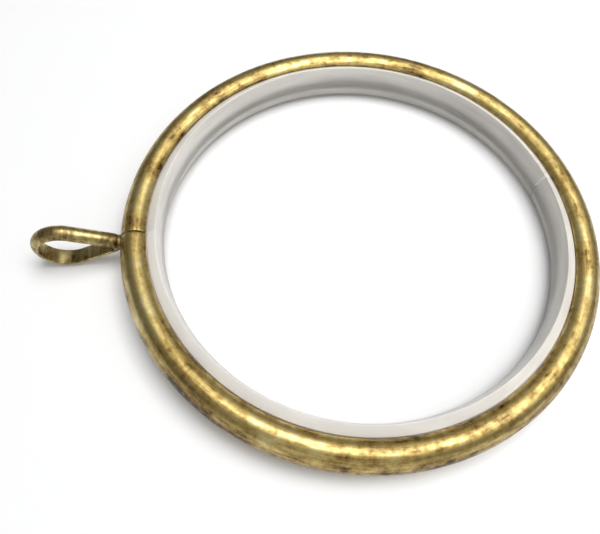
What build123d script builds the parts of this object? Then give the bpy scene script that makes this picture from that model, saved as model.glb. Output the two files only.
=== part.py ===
from build123d import *
import os
from math import asin, cos, degrees, radians, sin

os.makedirs("parts", exist_ok=True)

# Curtain ring, lying flat: Z is the ring's axis and the origin is the centre of its bore.
# The eyelet points along -Y, which is down when the ring hangs on a pole.
# Sizes are in millimetres. A name that ends in radius is measured from the axis of what it belongs to.

# Metal channel, rolled from sheet with its open side towards the bore
ring_radius = 30.0
channel_height = 5.0
sheet = 0.45
crown_inset = 1.9
side_half_angle = 40.4
crown_bend = 2.0
lip_bend_angle = 50.8
lip_trim = 0.05
joint_gap = 0.12
joint_angle = -90.0

# Plastic liner, held in the channel's mouth by two snap legs
liner_depth = 1.75
liner_height = 5.1
land_height = 1.2
rim_width = 1.24
rim_bevel = 0.15
web_thickness = 1.0
leg_length = 1.4
leg_thickness = 0.55
leg_clearance = 0.12
barb_setback = 0.25
barb_length = 0.35
barb_rise = 0.3
liner_gap = 0.25
liner_gap_angle = 100.0

# Eyelet of half-round wire, with a teardrop opening between a large and a small arc
eye_reach = 10.65
eye_opening_radius = 2.8
wire_radius = 1.0
crotch_distance = 1.25
crotch_opening_radius = 0.45
shoulder_clearance = 0.12
shank_radius = 0.95
shank_clearance = 0.08
shank_root = 0.5
head_clearance = 0.4
head_thickness = 0.35
head_seat_clearance = 0.2

# How far a cutting solid reaches past what it cuts
overcut = 1.0

# The channel's section is made of arcs that run into each other: an outer side, two tighter shoulders
# up to the crowns, and the bends from there down to the lips. The distance from the side's centre
# to a shoulder's centre makes the arcs meet smoothly within the inset and the channel's height.
crown_radius = ring_radius - crown_inset
half_channel = channel_height / 2
side_run = cos(radians(side_half_angle))
side_rise = sin(radians(side_half_angle))
side_to_shoulder = (half_channel - crown_inset) / (side_run + side_rise - 1)
side_bend = crown_inset + side_to_shoulder * side_run
side_centre = (ring_radius - side_bend, 0)
shoulder_bend = half_channel - side_to_shoulder * side_rise
shoulder_centre = (crown_radius, half_channel - shoulder_bend)
shoulder_angle = 90 - side_half_angle
bend_centre = (crown_radius, half_channel - crown_bend)
inner_bend = crown_bend - sheet
bend_run = sin(radians(lip_bend_angle))
bend_drop = cos(radians(lip_bend_angle))
lip_outer_corner = (bend_centre[0] - crown_bend * bend_run, bend_centre[1] + crown_bend * bend_drop)
lip_inner_corner = (bend_centre[0] - inner_bend * bend_run, bend_centre[1] + inner_bend * bend_drop)
# The lips' edges are trimmed to one cylinder, on which the liner's back stands.
lip_radius = lip_outer_corner[0] + lip_trim
# The rolled channel starts and ends at its butt joint, on the eyelet's side.
joint_turn = degrees(joint_gap / crown_radius)

with BuildPart() as shell:
    with BuildSketch(Plane.XZ.rotated((0, 0, joint_angle + joint_turn / 2))):
        with BuildLine():
            CenterArc(side_centre, side_bend, 0, side_half_angle)
            CenterArc(shoulder_centre, shoulder_bend, side_half_angle, shoulder_angle)
            CenterArc(bend_centre, crown_bend, 90, lip_bend_angle)
            Line(lip_outer_corner, lip_inner_corner)
            CenterArc(bend_centre, inner_bend, 90, lip_bend_angle)
            CenterArc(shoulder_centre, shoulder_bend - sheet, side_half_angle, shoulder_angle)
            CenterArc(side_centre, side_bend - sheet, 0, side_half_angle)
            mirror(about=Plane.XZ)
        make_face()
    revolve(axis=Axis.Z, revolution_arc=360 - joint_turn)
    Cylinder(lip_radius, channel_height, mode=Mode.SUBTRACT)
    # Round hole on the joint for the eyelet's shank
    with Locations(Plane.XZ.offset(crown_radius)):
        Cylinder(
            shank_radius + shank_clearance,
            crown_inset + overcut,
            align=(Align.CENTER, Align.CENTER, Align.MIN),
            mode=Mode.SUBTRACT,
        )
shell.part.label = "shell"
export_step(shell.part, "parts/shell.step")

# The liner's section: a flat land that rides on the pole, sloped flanks, rims that slope down to the lips,
# and behind them two legs whose barbs are wider than the mouth.
bore_radius = lip_radius - liner_depth
rim_inner_radius = lip_radius - rim_width
web_back_radius = bore_radius + web_thickness
leg_tip_radius = lip_radius + leg_length
leg_top = lip_inner_corner[1] - leg_clearance
barb_start_radius = lip_inner_corner[0] + barb_setback
half_liner = liner_height / 2

with BuildPart() as liner:
    with BuildSketch(Plane.XZ) as liner_section:
        with BuildLine():
            Polyline(
                (bore_radius, 0),
                (bore_radius, land_height / 2),
                (rim_inner_radius, half_liner),
                (lip_radius, lip_outer_corner[1]),
                (lip_radius, leg_top),
                (barb_start_radius, leg_top),
                (barb_start_radius + barb_length, leg_top + barb_rise),
                (leg_tip_radius, leg_top),
                (leg_tip_radius, leg_top - leg_thickness),
                (web_back_radius, leg_top - leg_thickness),
                (web_back_radius, 0),
            )
            mirror(about=Plane.XZ)
        make_face()
        # The two rims' edges are the section's highest and lowest corners.
        rims = liner_section.vertices().group_by(Axis.Y)
        chamfer(rims[-1] + rims[0], length=rim_bevel)
    revolve(axis=Axis.Z)
    # Gap between the two ends of the liner, which is a strip bent round
    with Locations(Rotation(0, 0, liner_gap_angle)):
        with Locations((lip_radius, 0, 0)):
            Box(2 * (liner_depth + leg_length + overcut), liner_gap, liner_height, mode=Mode.SUBTRACT)
liner.part.label = "liner"
export_step(liner.part, "parts/liner.step")

# The eyelet lies in the YZ plane. Its opening runs from the eye to the crotch between two tapers.
eye_centre_radius = ring_radius + eye_reach - wire_radius - eye_opening_radius
crotch_centre_radius = ring_radius + crotch_distance
centre_distance = eye_centre_radius - crotch_centre_radius
taper_angle = degrees(asin((eye_opening_radius - crotch_opening_radius) / centre_distance))
taper_run = cos(radians(taper_angle))
taper_rise = sin(radians(taper_angle))
taper_start = Plane(
    (0, -crotch_centre_radius + crotch_opening_radius * taper_rise, crotch_opening_radius * taper_run),
    x_dir=(1, 0, 0),
    z_dir=(0, -taper_run, taper_rise),
)
taper_length = centre_distance * taper_run
eye_axis = Axis((0, -eye_centre_radius, 0), (1, 0, 0))
crotch_axis = Axis((0, -crotch_centre_radius, 0), (-1, 0, 0))


def half_round():
    # Section of the wire, its flat side towards the opening
    Circle(wire_radius)
    with Locations((0, -wire_radius)):
        Rectangle(2 * wire_radius, 2 * wire_radius, mode=Mode.SUBTRACT)


with BuildPart() as eyelet:
    with BuildSketch(taper_start):
        half_round()
    extrude(amount=taper_length)
    mirror(about=Plane.XY)
    with BuildSketch(taper_start.offset(taper_length)):
        half_round()
    revolve(axis=eye_axis, revolution_arc=180 + 2 * taper_angle)
    with BuildSketch(taper_start):
        half_round()
    revolve(axis=crotch_axis, revolution_arc=180 - 2 * taper_angle)
    # The wire is trimmed just outside the shell, which leaves two shoulders against it.
    Box(4 * wire_radius, 2 * (ring_radius + shoulder_clearance), 4 * wire_radius, mode=Mode.SUBTRACT)
    # Shank and head are one turned shape. The head's cone bears on the inside of the shell's wall.
    head_radius = half_channel - sheet - head_clearance
    head_base_radius = leg_tip_radius + head_clearance
    head_top_radius = ring_radius - sheet - head_seat_clearance
    with BuildSketch(Plane.XY):
        with BuildLine():
            Polyline(
                (0, -head_base_radius),
                (head_radius, -head_base_radius),
                (head_radius, -head_base_radius - head_thickness),
                (shank_radius, -head_top_radius),
                (shank_radius, -ring_radius - shank_root),
                (0, -ring_radius - shank_root),
                close=True,
            )
        make_face()
    revolve(axis=Axis.Y)
eyelet.part.label = "eyelet"
export_step(eyelet.part, "parts/eyelet.step")

for piece in (shell, liner, eyelet):
    print(piece.part.label, "size", piece.part.bounding_box().size)
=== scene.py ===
from math import asin, cos, degrees, radians, sin

import bmesh
import bpy
from mathutils import Matrix, Vector


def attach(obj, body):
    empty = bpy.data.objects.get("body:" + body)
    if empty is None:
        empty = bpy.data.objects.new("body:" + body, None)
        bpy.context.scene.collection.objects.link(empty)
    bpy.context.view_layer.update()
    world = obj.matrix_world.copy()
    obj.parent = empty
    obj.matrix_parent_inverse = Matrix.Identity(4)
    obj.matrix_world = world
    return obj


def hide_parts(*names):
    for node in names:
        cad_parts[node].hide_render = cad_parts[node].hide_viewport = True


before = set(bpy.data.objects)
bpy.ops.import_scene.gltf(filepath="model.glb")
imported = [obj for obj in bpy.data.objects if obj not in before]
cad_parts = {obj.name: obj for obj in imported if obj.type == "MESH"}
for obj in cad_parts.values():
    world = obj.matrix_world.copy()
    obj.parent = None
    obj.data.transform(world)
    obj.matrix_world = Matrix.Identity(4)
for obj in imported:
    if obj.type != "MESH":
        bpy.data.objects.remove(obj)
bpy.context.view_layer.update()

# Lengths in the settings are in millimetres, and the scene is in metres.
# The ring lies round Z with its bore's centre at the origin, and the eyelet points along -Y.
mm = 0.001
# How near a point may lie to a cut and still count as on it, in metres
cutPrecision = 1e-7
# Edges sharper than this, in degrees, stay crisp under smooth shading.
smoothAngle = 40


def selectNone():
    if bpy.context.object and bpy.context.object.mode != "OBJECT":
        bpy.ops.object.mode_set(mode="OBJECT")
    bpy.ops.object.select_all(action="DESELECT")


def selectOnly(piece):
    selectNone()
    piece.select_set(True)
    bpy.context.view_layer.objects.active = piece


def startPoint(name, place):
    # One point to draw a profile from, left selected in edit mode
    selectNone()
    bpy.ops.mesh.primitive_plane_add(size=mm, location=(0, 0, 0))
    piece = bpy.context.object
    piece.name = piece.data.name = name
    bpy.ops.object.mode_set(mode="EDIT")
    bpy.ops.mesh.select_mode(type="VERT")
    bpy.ops.mesh.select_all(action="SELECT")
    bpy.ops.mesh.merge(type="CENTER")
    bpy.ops.transform.translate(value=Vector(place) * mm)
    return piece


def drawLine(fromPlace, toPlace):
    step = (Vector(toPlace) - Vector(fromPlace)) * mm
    bpy.ops.mesh.extrude_region_move(TRANSFORM_OT_translate={"value": step})


def spinBy(angle, steps, centre, axis):
    # The operator turns clockwise, so the angle changes sign.
    bpy.ops.mesh.spin(
        steps=steps, dupli=False, angle=-radians(angle), use_auto_merge=False,
        center=Vector(centre) * mm, axis=axis,
    )


def turnRoundZ(angle):
    # With no window the rotate operator turns clockwise too.
    bpy.ops.transform.rotate(value=-radians(angle), orient_axis="Z", center_override=(0, 0, 0))


def selectPoints(piece, wanted):
    # Selects, in edit mode, the points whose place in millimetres passes the test.
    bpy.ops.mesh.select_mode(type="VERT")
    bpy.ops.mesh.select_all(action="DESELECT")
    mesh = bmesh.from_edit_mesh(piece.data)
    for point in mesh.verts:
        point.select = wanted(point.co / mm)
    mesh.select_flush(True)
    bmesh.update_edit_mesh(piece.data)


def closeMesh(mergeDistance=0.001):
    bpy.ops.mesh.select_all(action="SELECT")
    bpy.ops.mesh.remove_doubles(threshold=mergeDistance * mm)
    bpy.ops.mesh.normals_make_consistent(inside=False)


def applyModifier(piece, kind, name, **settings):
    selectOnly(piece)
    modifier = piece.modifiers.new(name, kind)
    for key, value in settings.items():
        setattr(modifier, key, value)
    bpy.ops.object.modifier_apply(modifier=name)


def roundEdges(piece, width, steps, angle):
    applyModifier(
        piece, "BEVEL", "rounded edges", width=width * mm, segments=steps,
        limit_method="ANGLE", angle_limit=radians(angle), use_clamp_overlap=True,
    )


def smoothShade(piece):
    selectOnly(piece)
    bpy.ops.object.shade_smooth_by_angle(angle=radians(smoothAngle))


def dress(piece, node, body, material):
    piece.data.materials.clear()
    piece.data.materials.append(material)
    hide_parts(node)
    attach(piece, body)


def linear(hexColour):
    # sRGB hex to linear colour
    channels = [int(hexColour[i:i + 2], 16) / 255 for i in (1, 3, 5)]
    return [c / 12.92 if c <= 0.04045 else ((c + 0.055) / 1.055) ** 2.4 for c in channels] + [1]


def startMaterial(name):
    material = bpy.data.materials.new(name)
    material.use_nodes = True
    tree = material.node_tree
    tree.nodes.clear()
    return material, tree


def addNode(tree, kind, settings=None, **inputs):
    # A node with its own settings; an input is a value, or another node's output to link
    node = tree.nodes.new(kind)
    for key, value in (settings or {}).items():
        setattr(node, key, value)
    for key, value in inputs.items():
        # i0, i1 and so on are inputs by number, the others by name.
        numbered = key[0] == "i" and key[1:].isdigit()
        socket = node.inputs[int(key[1:]) if numbered else key.replace("_", " ")]
        if isinstance(value, bpy.types.NodeSocket):
            tree.links.new(value, socket)
        else:
            socket.default_value = value
    return node


def setRamp(ramp, stops):
    elements = ramp.color_ramp.elements
    while len(elements) < len(stops):
        elements.new(0.5)
    for element, (position, colour) in zip(elements, stops):
        element.position = position
        element.color = linear(colour) if isinstance(colour, str) else (colour, colour, colour, 1)


# Camera, as it stood for the photograph: elevation, roll and distance come from fitting the ring's outlines
view = {
    "azimuth": 339.5, "elevation": 57.6, "roll": -14.1, "distance": 71.04,
    "lens": 33.0, "sensor": 36.0, "imageWidth": 600, "imageHeight": 534,
    "ringCentre": (359.9, 226.8), "nearest": 0.001, "farthest": 10.0,
}


def placeCamera():
    turn = radians(view["azimuth"])
    lift = radians(view["elevation"])
    back = Vector((cos(lift) * cos(turn), cos(lift) * sin(turn), sin(lift)))
    right = Vector((-sin(turn), cos(turn), 0))
    up = back.cross(right)
    roll = radians(view["roll"])
    # The picture is turned by the roll, then tipped so that the ring's centre falls on its pixel.
    rolledRight = right * cos(roll) - up * sin(roll)
    rolledUp = right * sin(roll) + up * cos(roll)
    pixels = view["lens"] / view["sensor"] * view["imageWidth"]
    across = (view["ringCentre"][0] - view["imageWidth"] / 2) / pixels
    down = (view["ringCentre"][1] - view["imageHeight"] / 2) / pixels
    aim = Vector((across, -down, -1)).normalized()
    tip = Vector((0, 0, -1)).rotation_difference(aim).to_matrix()
    level = Matrix((rolledRight, rolledUp, back))
    data = bpy.data.cameras.new("camera")
    data.lens = view["lens"]
    data.sensor_width = view["sensor"]
    data.sensor_fit = "HORIZONTAL"
    data.clip_start = view["nearest"]
    data.clip_end = view["farthest"]
    camera = bpy.data.objects.new("camera", data)
    bpy.context.scene.collection.objects.link(camera)
    turned = (tip @ level).transposed().to_4x4()
    camera.matrix_world = Matrix.Translation(back * view["distance"] * mm) @ turned
    bpy.context.scene.camera = camera


placeCamera()
print("camera placed")

lining = {
    "lipRadius": 26.6, "lipHeight": 1.764, "depth": 1.75, "height": 5.1, "landHeight": 1.2,
    "rimWidth": 1.24, "lipGap": 0.08, "edgeRound": 0.1, "edgeSteps": 3, "roundedFrom": 28,
    "webThickness": 1.0, "legLength": 1.4, "legThickness": 0.55, "legTop": 1.36,
    "barbStart": 27.15, "barbLength": 0.35, "barbRise": 0.3,
    "gap": 0.08, "gapAngle": 100.0, "stepsRound": 360,
}


def makeLiner():
    size = lining
    bore = size["lipRadius"] - size["depth"]
    corners = [
        (bore, size["landHeight"] / 2),
        (size["lipRadius"] - size["rimWidth"], size["height"] / 2),
        (size["lipRadius"] - size["lipGap"], size["lipHeight"]),
        (size["lipRadius"] - size["lipGap"], size["legTop"]),
        (size["barbStart"], size["legTop"]),
        (size["barbStart"] + size["barbLength"], size["legTop"] + size["barbRise"]),
        (size["lipRadius"] + size["legLength"], size["legTop"]),
        (size["lipRadius"] + size["legLength"], size["legTop"] - size["legThickness"]),
        (bore + size["webThickness"], size["legTop"] - size["legThickness"]),
    ]
    outline = corners + [(radius, -height) for radius, height in reversed(corners)]
    places = [(radius, 0, height) for radius, height in outline]
    piece = startPoint("boreLiner", places[0])
    for here, there in zip(places, places[1:]):
        drawLine(here, there)
    bpy.ops.mesh.select_all(action="SELECT")
    bpy.ops.mesh.edge_face_add()
    gapTurn = degrees(size["gap"] / size["lipRadius"])
    turnRoundZ(size["gapAngle"] + gapTurn / 2)
    spinBy(360 - gapTurn, size["stepsRound"], (0, 0, 0), (0, 0, 1))
    closeMesh()
    bpy.ops.object.mode_set(mode="OBJECT")
    roundEdges(piece, size["edgeRound"], size["edgeSteps"], size["roundedFrom"])
    smoothShade(piece)
    return piece


channel = {
    "sideCentre": 26.985, "sideBend": 3.015, "sideHalfAngle": 40.4, "sideSteps": 16,
    "crownCentre": 28.1, "shoulderHeight": 0.949, "shoulderSteps": 8,
    "bendHeight": 0.5, "bend": 2.0, "bendAngle": 49.5, "bendSteps": 10,
    "sheet": 0.45, "lipRound": 0.1, "lipSteps": 3, "roundedFrom": 60, "stepsRound": 360,
    "jointGap": 0.12, "holeRadius": 1.03, "holeSides": 48, "holeDepth": 4.0,
}


def makeChannel():
    # The outer skin is drawn as one line of arcs from lip to lip, spun round, and thickened inwards.
    size = channel
    crown = size["crownCentre"]
    shoulderAngle = 90 - size["sideHalfAngle"]
    lip = radians(size["bendAngle"])
    start = (crown - size["bend"] * sin(lip), 0, -size["bendHeight"] - size["bend"] * cos(lip))
    piece = startPoint("ringChannel", start)
    across = (0, -1, 0)
    spinBy(size["bendAngle"], size["bendSteps"], (crown, 0, -size["bendHeight"]), across)
    spinBy(shoulderAngle, size["shoulderSteps"], (crown, 0, -size["shoulderHeight"]), across)
    spinBy(2 * size["sideHalfAngle"], size["sideSteps"], (size["sideCentre"], 0, 0), across)
    spinBy(shoulderAngle, size["shoulderSteps"], (crown, 0, size["shoulderHeight"]), across)
    spinBy(size["bendAngle"], size["bendSteps"], (crown, 0, size["bendHeight"]), across)
    bpy.ops.mesh.select_all(action="SELECT")
    gapTurn = degrees(size["jointGap"] / (size["sideCentre"] + size["sideBend"]))
    turnRoundZ(-90 + gapTurn / 2)
    spinBy(360 - gapTurn, size["stepsRound"], (0, 0, 0), (0, 0, 1))
    closeMesh()
    bpy.ops.object.mode_set(mode="OBJECT")
    applyModifier(
        piece, "SOLIDIFY", "sheet thickness", thickness=size["sheet"] * mm, offset=-1,
        use_even_offset=True, use_rim=True,
    )
    roundEdges(piece, size["lipRound"], size["lipSteps"], size["roundedFrom"])
    selectNone()
    bpy.ops.mesh.primitive_cylinder_add(
        vertices=size["holeSides"], radius=size["holeRadius"] * mm, depth=size["holeDepth"] * mm,
        location=(0, -(crown + size["holeDepth"] / 2) * mm, 0), rotation=(radians(90), 0, 0),
    )
    drill = bpy.context.object
    applyModifier(piece, "BOOLEAN", "shank hole", operation="DIFFERENCE", solver="EXACT", object=drill)
    bpy.data.objects.remove(drill)
    smoothShade(piece)
    return piece


loop = {
    "eyeCentre": 36.85, "eyeOpening": 2.8, "wireRadius": 1.0, "sectionSides": 48,
    "crotchCentre": 31.25, "crotchOpening": 0.45, "shoulder": 30.12,
    "eyeSteps": 96, "crotchSteps": 24, "taperSteps": 8, "edgeRound": 0.12, "edgeSteps": 3,
    "shankRadius": 0.95, "shankEnd": 30.5, "headRadius": 1.65, "headBase": 28.45,
    "headEdge": 28.8, "headTop": 29.35, "turnSteps": 48,
    "mergeDistance": 0.005, "pickMargin": 0.001,
}


def makeEyelet():
    # Half-round wire, its flat side towards the opening, bent round the eye and the crotch
    size = loop
    span = size["eyeCentre"] - size["crotchCentre"]
    taper = asin((size["eyeOpening"] - size["crotchOpening"]) / span)
    run, rise = cos(taper), sin(taper)
    taperLength = span * run
    start = Vector((0, -size["crotchCentre"] + size["crotchOpening"] * rise, size["crotchOpening"] * run))
    selectNone()
    bpy.ops.mesh.primitive_circle_add(
        vertices=size["sectionSides"], radius=size["wireRadius"] * mm, fill_type="NGON",
        location=start * mm, rotation=(radians(90) - taper, 0, 0),
    )
    piece = bpy.context.object
    piece.name = piece.data.name = "teardropEyelet"
    bpy.ops.object.transform_apply(location=True, rotation=True, scale=True)
    bpy.ops.object.mode_set(mode="EDIT")
    bpy.ops.mesh.select_all(action="SELECT")
    bpy.ops.mesh.bisect(
        plane_co=start * mm, plane_no=(0, rise, run), clear_inner=True, threshold=cutPrecision
    )
    selectPoints(piece, lambda at: abs(at.x) > size["wireRadius"] - size["pickMargin"])
    bpy.ops.mesh.bevel(offset=size["edgeRound"] * mm, segments=size["edgeSteps"], affect="VERTICES")
    bpy.ops.mesh.select_all(action="SELECT")
    acrossLoop = (1, 0, 0)
    drawLine((0, 0, 0), Vector((0, -run, rise)) * taperLength)
    spinBy(180 + degrees(2 * taper), size["eyeSteps"], (0, -size["eyeCentre"], 0), acrossLoop)
    drawLine((0, 0, 0), Vector((0, run, rise)) * taperLength)
    spinBy(180 - degrees(2 * taper), size["crotchSteps"], (0, -size["crotchCentre"], 0), acrossLoop)
    bpy.ops.mesh.select_all(action="SELECT")
    bpy.ops.mesh.remove_doubles(threshold=size["mergeDistance"] * mm)
    bpy.ops.mesh.select_mode(type="FACE")
    bpy.ops.mesh.select_all(action="DESELECT")
    bpy.ops.mesh.select_interior_faces()
    bpy.ops.mesh.delete(type="FACE")
    bpy.ops.mesh.select_mode(type="VERT")
    # The crotch is cut level where its shoulders stand against the ring.
    bpy.ops.mesh.select_all(action="SELECT")
    bpy.ops.mesh.bisect(
        plane_co=(0, -size["shoulder"] * mm, 0), plane_no=(0, 1, 0), clear_outer=True, use_fill=True,
        threshold=cutPrecision,
    )
    closeMesh()
    bpy.ops.object.mode_set(mode="OBJECT")
    shank = makeShank()
    applyModifier(piece, "BOOLEAN", "shank", operation="UNION", solver="EXACT", object=shank)
    bpy.data.objects.remove(shank)
    smoothShade(piece)
    return piece


def makeShank():
    # Shank and upset head, turned round the ring's radius
    size = loop
    places = [
        (0, -size["headBase"], 0), (size["headRadius"], -size["headBase"], 0),
        (size["headRadius"], -size["headEdge"], 0), (size["shankRadius"], -size["headTop"], 0),
        (size["shankRadius"], -size["shankEnd"], 0), (0, -size["shankEnd"], 0),
    ]
    piece = startPoint("shank", places[0])
    for here, there in zip(places, places[1:]):
        drawLine(here, there)
    bpy.ops.mesh.select_all(action="SELECT")
    spinBy(360, size["turnSteps"], (0, 0, 0), (0, 1, 0))
    closeMesh()
    bpy.ops.object.mode_set(mode="OBJECT")
    return piece


liner = makeLiner()
print("liner modelled")
ring = makeChannel()
print("channel modelled")
eyelet = makeEyelet()
print("eyelet modelled")


# Antique brass: brass plate darkened in a bath, then brushed back along the ring and lacquered,
# so that brown oxide is left in mottles, short streaks and pits; the ring's sides are darker than
# the high metal, partly for oxide and partly as painted shade.
brassLook = {
    "paleGold": "#D6C68E", "gold": "#B8A060", "brown": "#8C7240", "dark": "#382A15",
    "cloud": 5.0, "mottle": 0.85, "grain": 0.2, "streakLong": 3.5, "streakWide": 0.45,
    "ringRadius": 28.5, "sectionCentre": 27.2, "sectionRadius": 2.6,
    "cloudShare": 0.36, "mottleShare": 0.32, "streakShare": 0.32,
    "darkAt": 0.36, "brownAt": 0.42, "goldAt": 0.5, "paleAt": 0.61,
    # The sides are darkened for oxide and painted shade, fully within 0.5 mm of mid-height, not at all past
    # 2.1 mm.
    "sideHeight": 0.5, "crownHeight": 2.1, "sideOxideAndShade": 0.09,
    "roughness": 0.38, "oxideRoughness": 0.55, "oxideAt": 0.4, "bareAt": 0.56,
    "pitDepth": 0.01, "mottleRelief": 0.8, "streakRelief": 1.2, "relief": 0.5,
    "lacquer": 0.2, "lacquerRoughness": 0.2,
}
# The eyelet's wire is a darker copy of the ring's brass, as painted shade.
shadedWireLook = dict(brassLook, paleGold="#CDBB82", gold="#A08C5A", brown="#6A5632", dark="#2A2210")


def brushedPlace(tree, inMm, look):
    # Place on the ring's skin in millimetres: along the ring from its joint, and across its section
    split = addNode(tree, "ShaderNodeSeparateXYZ", None, Vector=inMm)
    x, y, z = split.outputs
    minusX = addNode(tree, "ShaderNodeMath", {"operation": "MULTIPLY"}, i0=x, i1=-1.0)
    turn = addNode(tree, "ShaderNodeMath", {"operation": "ARCTAN2"}, i0=minusX.outputs["Value"], i1=y)
    flat = addNode(tree, "ShaderNodeCombineXYZ", None, X=x, Y=y)
    radius = addNode(tree, "ShaderNodeVectorMath", {"operation": "LENGTH"}, Vector=flat.outputs["Vector"])
    outwards = addNode(
        tree, "ShaderNodeMath", {"operation": "SUBTRACT"},
        i0=radius.outputs["Value"], i1=look["sectionCentre"],
    )
    section = addNode(tree, "ShaderNodeMath", {"operation": "ARCTAN2"}, i0=z, i1=outwards.outputs["Value"])
    along = addNode(
        tree, "ShaderNodeMath", {"operation": "MULTIPLY"}, i0=turn.outputs["Value"], i1=look["ringRadius"]
    )
    across = addNode(
        tree, "ShaderNodeMath", {"operation": "MULTIPLY"},
        i0=section.outputs["Value"], i1=look["sectionRadius"],
    )
    place = addNode(tree, "ShaderNodeCombineXYZ", None, X=along.outputs["Value"], Y=across.outputs["Value"])
    return place.outputs["Vector"]


def makeBrass(name, look, brushed):
    material, tree = startMaterial(name)
    place = addNode(tree, "ShaderNodeTexCoord").outputs["Object"]
    perMm = addNode(tree, "ShaderNodeVectorMath", {"operation": "SCALE"}, Vector=place, Scale=1000.0)
    inMm = perMm.outputs["Vector"]
    skin = brushedPlace(tree, inMm, look) if brushed else inMm
    # Wide clouds of thicker and thinner oxide, 5 mm across
    cloud = addNode(tree, "ShaderNodeTexNoise", None, Vector=inMm, Scale=1 / look["cloud"], Detail=2.0)
    # Mottles of thinner and thicker oxide, 0.85 mm across
    mottle = addNode(
        tree, "ShaderNodeTexNoise", None, Vector=inMm, Scale=1 / look["mottle"], Detail=5.0, Roughness=0.65
    )
    # Brushed streaks, 3.5 mm long and 0.45 mm wide
    stretched = addNode(
        tree, "ShaderNodeVectorMath", {"operation": "MULTIPLY"}, i0=skin,
        i1=(1 / look["streakLong"], 1 / look["streakWide"], 1 / look["streakWide"]),
    )
    streak = addNode(
        tree, "ShaderNodeTexNoise", None, Vector=stretched.outputs["Vector"],
        Scale=1.0, Detail=4.0, Roughness=0.6,
    )
    cloudPart = addNode(
        tree, "ShaderNodeMath", {"operation": "MULTIPLY"}, i0=cloud.outputs["Fac"], i1=look["cloudShare"]
    )
    mottlePart = addNode(
        tree, "ShaderNodeMath", {"operation": "MULTIPLY_ADD"},
        i0=mottle.outputs["Fac"], i1=look["mottleShare"], i2=cloudPart.outputs["Value"],
    )
    bareness = addNode(
        tree, "ShaderNodeMath", {"operation": "MULTIPLY_ADD"},
        i0=streak.outputs["Fac"], i1=look["streakShare"], i2=mottlePart.outputs["Value"],
    )
    if brushed:
        # The sides are darker: oxide the brush left, and painted shade for the shadowed table they reflect.
        split = addNode(tree, "ShaderNodeSeparateXYZ", None, Vector=inMm)
        height = addNode(tree, "ShaderNodeMath", {"operation": "ABSOLUTE"}, i0=split.outputs["Z"])
        oxideAndShadeOnSide = addNode(
            tree, "ShaderNodeMapRange", None, Value=height.outputs["Value"],
            From_Min=look["sideHeight"], From_Max=look["crownHeight"], To_Min=-look["sideOxideAndShade"], To_Max=0.0,
        )
        bareness = addNode(
            tree, "ShaderNodeMath", {"operation": "ADD"},
            i0=bareness.outputs["Value"], i1=oxideAndShadeOnSide.outputs["Result"],
        )
    tone = addNode(tree, "ShaderNodeValToRGB", None, Fac=bareness.outputs["Value"])
    setRamp(tone, [
        (look["darkAt"], look["dark"]), (look["brownAt"], look["brown"]),
        (look["goldAt"], look["gold"]), (look["paleAt"], look["paleGold"]),
    ])
    rough = addNode(
        tree, "ShaderNodeMapRange", None, Value=bareness.outputs["Value"],
        From_Min=look["oxideAt"], From_Max=look["bareAt"],
        To_Min=look["oxideRoughness"], To_Max=look["roughness"],
    )
    # Pits and brush marks, a hundredth of a millimetre deep
    grain = addNode(tree, "ShaderNodeTexNoise", None, Vector=inMm, Scale=1 / look["grain"], Detail=3.0)
    waves = addNode(
        tree, "ShaderNodeMath", {"operation": "MULTIPLY_ADD"},
        i0=mottle.outputs["Fac"], i1=look["mottleRelief"], i2=grain.outputs["Fac"],
    )
    relief = addNode(
        tree, "ShaderNodeMath", {"operation": "MULTIPLY_ADD"},
        i0=streak.outputs["Fac"], i1=look["streakRelief"], i2=waves.outputs["Value"],
    )
    bump = addNode(
        tree, "ShaderNodeBump", None, Strength=look["relief"], Distance=look["pitDepth"] * mm,
        Height=relief.outputs["Value"],
    )
    shader = addNode(
        tree, "ShaderNodeBsdfPrincipled", None, Metallic=1.0, Base_Color=tone.outputs["Color"],
        Roughness=rough.outputs["Result"], Normal=bump.outputs["Normal"],
        Coat_Weight=look["lacquer"], Coat_Roughness=look["lacquerRoughness"],
    )
    addNode(tree, "ShaderNodeOutputMaterial", None, Surface=shader.outputs["BSDF"])
    return material


# Natural nylon: injection moulded without dye, milky and translucent, with a satin skin.
# The liner is whiter, and not clear, in a narrow strip beside its cut.
nylonLook = {
    "milky": "#FBF7EF", "shade": "#EAE5DE", "white": "#FFFFFF", "shadeAt": 0.38, "milkyAt": 0.6,
    "roughness": 0.3, "refraction": 1.53,
    "rimClear": 0.08, "webClear": 0.6, "webCentre": -0.15, "webHalf": 0.35, "rimFrom": 1.3,
    "flowLong": 12.0, "flowWide": 1.3, "ringRadius": 25.5, "sectionCentre": 27.5, "sectionRadius": 2.5,
    "cutHalfWidth": 0.22, "cutCore": 0.11, "cutFrom": 0.3, "cutFull": 0.7,
}


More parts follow.
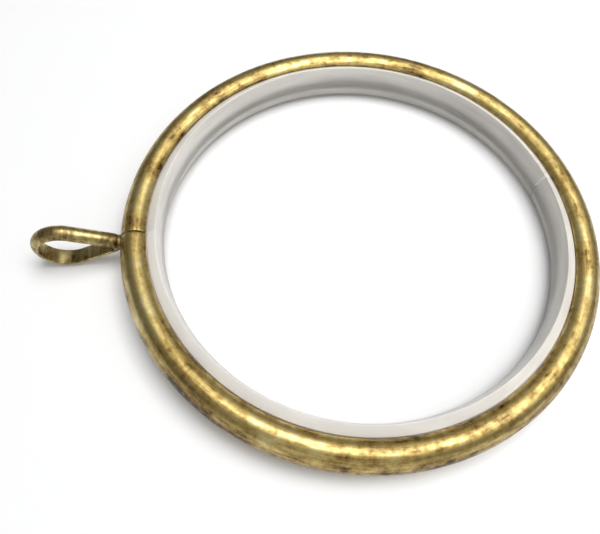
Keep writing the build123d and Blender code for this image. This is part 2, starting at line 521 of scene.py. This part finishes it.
def makeNylon(name, look):
    material, tree = startMaterial(name)
    place = addNode(tree, "ShaderNodeTexCoord").outputs["Object"]
    perMm = addNode(tree, "ShaderNodeVectorMath", {"operation": "SCALE"}, Vector=place, Scale=1000.0)
    inMm = perMm.outputs["Vector"]
    # Flow marks of the moulding, 12 mm long
    stretched = addNode(
        tree, "ShaderNodeVectorMath", {"operation": "MULTIPLY"}, i0=brushedPlace(tree, inMm, look),
        i1=(1 / look["flowLong"], 1 / look["flowWide"], 1 / look["flowWide"]),
    )
    flow = addNode(
        tree, "ShaderNodeTexNoise", None, Vector=stretched.outputs["Vector"], Scale=1.0, Detail=3.0
    )
    tone = addNode(tree, "ShaderNodeValToRGB", None, Fac=flow.outputs["Fac"])
    setRamp(tone, [(look["shadeAt"], look["shade"]), (look["milkyAt"], look["milky"])])
    # The whiter strip beside the cut lies on the upper flank only.
    turned = addNode(
        tree, "ShaderNodeVectorRotate", {"rotation_type": "Z_AXIS"}, Vector=inMm,
        Angle=-radians(lining["gapAngle"]),
    )
    split = addNode(tree, "ShaderNodeSeparateXYZ", None, Vector=turned.outputs["Vector"])
    off = addNode(tree, "ShaderNodeMath", {"operation": "ABSOLUTE"}, i0=split.outputs["Y"])
    near = addNode(
        tree, "ShaderNodeMapRange", None, Value=off.outputs["Value"],
        From_Min=look["cutCore"], From_Max=look["cutHalfWidth"], To_Min=1.0, To_Max=0.0,
    )
    above = addNode(
        tree, "ShaderNodeMapRange", None, Value=split.outputs["Z"],
        From_Min=look["cutFrom"], From_Max=look["cutFull"], To_Min=0.0, To_Max=1.0,
    )
    farSide = addNode(tree, "ShaderNodeMath", {"operation": "GREATER_THAN"}, i0=split.outputs["X"], i1=0.0)
    cut = addNode(
        tree, "ShaderNodeMath", {"operation": "MULTIPLY"},
        i0=near.outputs["Result"], i1=above.outputs["Result"],
    )
    cutHere = addNode(
        tree, "ShaderNodeMath", {"operation": "MULTIPLY"},
        i0=cut.outputs["Value"], i1=farSide.outputs["Value"],
    )
    colour = addNode(
        tree, "ShaderNodeMix", {"data_type": "RGBA"}, i0=cutHere.outputs["Value"],
        i6=tone.outputs["Color"], i7=linear(look["white"]),
    )
    # The thin web lets light through to the dark channel behind it, and the thick rims hardly do.
    fromWeb = addNode(
        tree, "ShaderNodeMath", {"operation": "SUBTRACT"}, i0=split.outputs["Z"], i1=look["webCentre"]
    )
    height = addNode(tree, "ShaderNodeMath", {"operation": "ABSOLUTE"}, i0=fromWeb.outputs["Value"])
    byHeight = addNode(
        tree, "ShaderNodeMapRange", None, Value=height.outputs["Value"],
        From_Min=look["webHalf"], From_Max=look["rimFrom"], To_Min=look["webClear"], To_Max=look["rimClear"],
    )
    uncut = addNode(tree, "ShaderNodeMath", {"operation": "SUBTRACT"}, i0=1.0, i1=cutHere.outputs["Value"])
    clear = addNode(
        tree, "ShaderNodeMath", {"operation": "MULTIPLY"},
        i0=byHeight.outputs["Result"], i1=uncut.outputs["Value"],
    )
    shader = addNode(
        tree, "ShaderNodeBsdfPrincipled", None, Base_Color=colour.outputs[2],
        Roughness=look["roughness"], IOR=look["refraction"], Transmission_Weight=clear.outputs["Value"],
    )
    addNode(tree, "ShaderNodeOutputMaterial", None, Surface=shader.outputs["BSDF"])
    return material


ringBrass = makeBrass("antique brass plate", brassLook, True)
# The eyelet's brass is darkened as painted shade.
shadedEyeBrass = makeBrass("shaded antique brass wire", shadedWireLook, False)
nylon = makeNylon("natural nylon", nylonLook)
dress(liner, "liner", "ring", nylon)
dress(ring, "shell", "ring", ringBrass)
dress(eyelet, "eyelet", "eyelet", shadedEyeBrass)
print("materials made")

# Table, tilted so that the ring lies on it as it rests: on the eyelet's rim and on its own far edge
floorPlan = {
    "size": 1600.0, "eyeletRest": (-36.85, -3.8), "ringRest": (28.1, -2.5),
    "seenColour": "#F2F2F2", "bounceColour": "#BEBEBE", "white": 0.09, "roughness": 0.9, "gloss": 0.1,
}


def makeFloor(plan):
    (nearY, nearZ), (farY, farZ) = plan["eyeletRest"], plan["ringRest"]
    slope = (farZ - nearZ) / (farY - nearY)
    selectNone()
    bpy.ops.mesh.primitive_plane_add(size=plan["size"] * mm, location=(0, 0, 0))
    floor = bpy.context.object
    floor.name = floor.data.name = "floor"
    for point in floor.data.vertices:
        point.co.z = nearZ * mm + (point.co.y - nearY * mm) * slope
    material, tree = startMaterial("white paper")
    # The paper shows white, straight on, through the liner and in the metal, and throws less light back.
    ray = addNode(tree, "ShaderNodeLightPath")
    seenThrough = addNode(
        tree, "ShaderNodeMath", {"operation": "MAXIMUM"},
        i0=ray.outputs["Is Camera Ray"], i1=ray.outputs["Is Transmission Ray"],
    )
    seen = addNode(
        tree, "ShaderNodeMath", {"operation": "MAXIMUM"},
        i0=seenThrough.outputs["Value"], i1=ray.outputs["Is Glossy Ray"],
    )
    glow = addNode(
        tree, "ShaderNodeMath", {"operation": "MULTIPLY"}, i0=seen.outputs["Value"], i1=plan["white"]
    )
    paper = addNode(
        tree, "ShaderNodeMix", {"data_type": "RGBA"}, i0=seen.outputs["Value"],
        i6=linear(plan["bounceColour"]), i7=linear(plan["seenColour"]),
    )
    shader = addNode(
        tree, "ShaderNodeBsdfPrincipled", None, Base_Color=paper.outputs[2], Roughness=plan["roughness"],
        Specular_IOR_Level=plan["gloss"], Emission_Color=(1, 1, 1, 1),
        Emission_Strength=glow.outputs["Value"],
    )
    addNode(tree, "ShaderNodeOutputMaterial", None, Surface=shader.outputs["BSDF"])
    floor.data.materials.append(material)


makeFloor(floorPlan)

# Light: azimuth and elevation are as seen from the ring, size and distance in millimetres
lamps = {
    "window": {"azimuth": 112.0, "elevation": 78.0, "distance": 500.0, "size": 300.0, "power": 2.1},
    "ceiling": {"azimuth": 75.0, "elevation": 58.0, "distance": 500.0, "size": 260.0, "power": 0.45},
    "room": {"azimuth": 350.0, "elevation": 30.0, "distance": 600.0, "size": 600.0, "power": 0.6},
}


def makeLamp(name, plan):
    turn, lift = radians(plan["azimuth"]), radians(plan["elevation"])
    toLamp = Vector((cos(lift) * cos(turn), cos(lift) * sin(turn), sin(lift)))
    data = bpy.data.lights.new(name, "AREA")
    data.shape = "SQUARE"
    data.size = plan["size"] * mm
    data.energy = plan["power"]
    lamp = bpy.data.objects.new(name, data)
    bpy.context.scene.collection.objects.link(lamp)
    turned = toLamp.to_track_quat("Z", "Y").to_matrix().to_4x4()
    lamp.matrix_world = Matrix.Translation(toLamp * plan["distance"] * mm) @ turned


for lampName, lampPlan in lamps.items():
    makeLamp(lampName, lampPlan)

roomLight = {"colour": "#D8DADC", "strength": 0.2}
world = bpy.data.worlds.new("room")
world.use_nodes = True
world.node_tree.nodes.clear()
room = addNode(
    world.node_tree, "ShaderNodeBackground", None,
    Color=linear(roomLight["colour"]), Strength=roomLight["strength"],
)
addNode(world.node_tree, "ShaderNodeOutputWorld", None, Surface=room.outputs["Background"])
bpy.context.scene.world = world
bpy.context.scene.view_settings.view_transform = "Standard"
print("floor, lamps and room made")
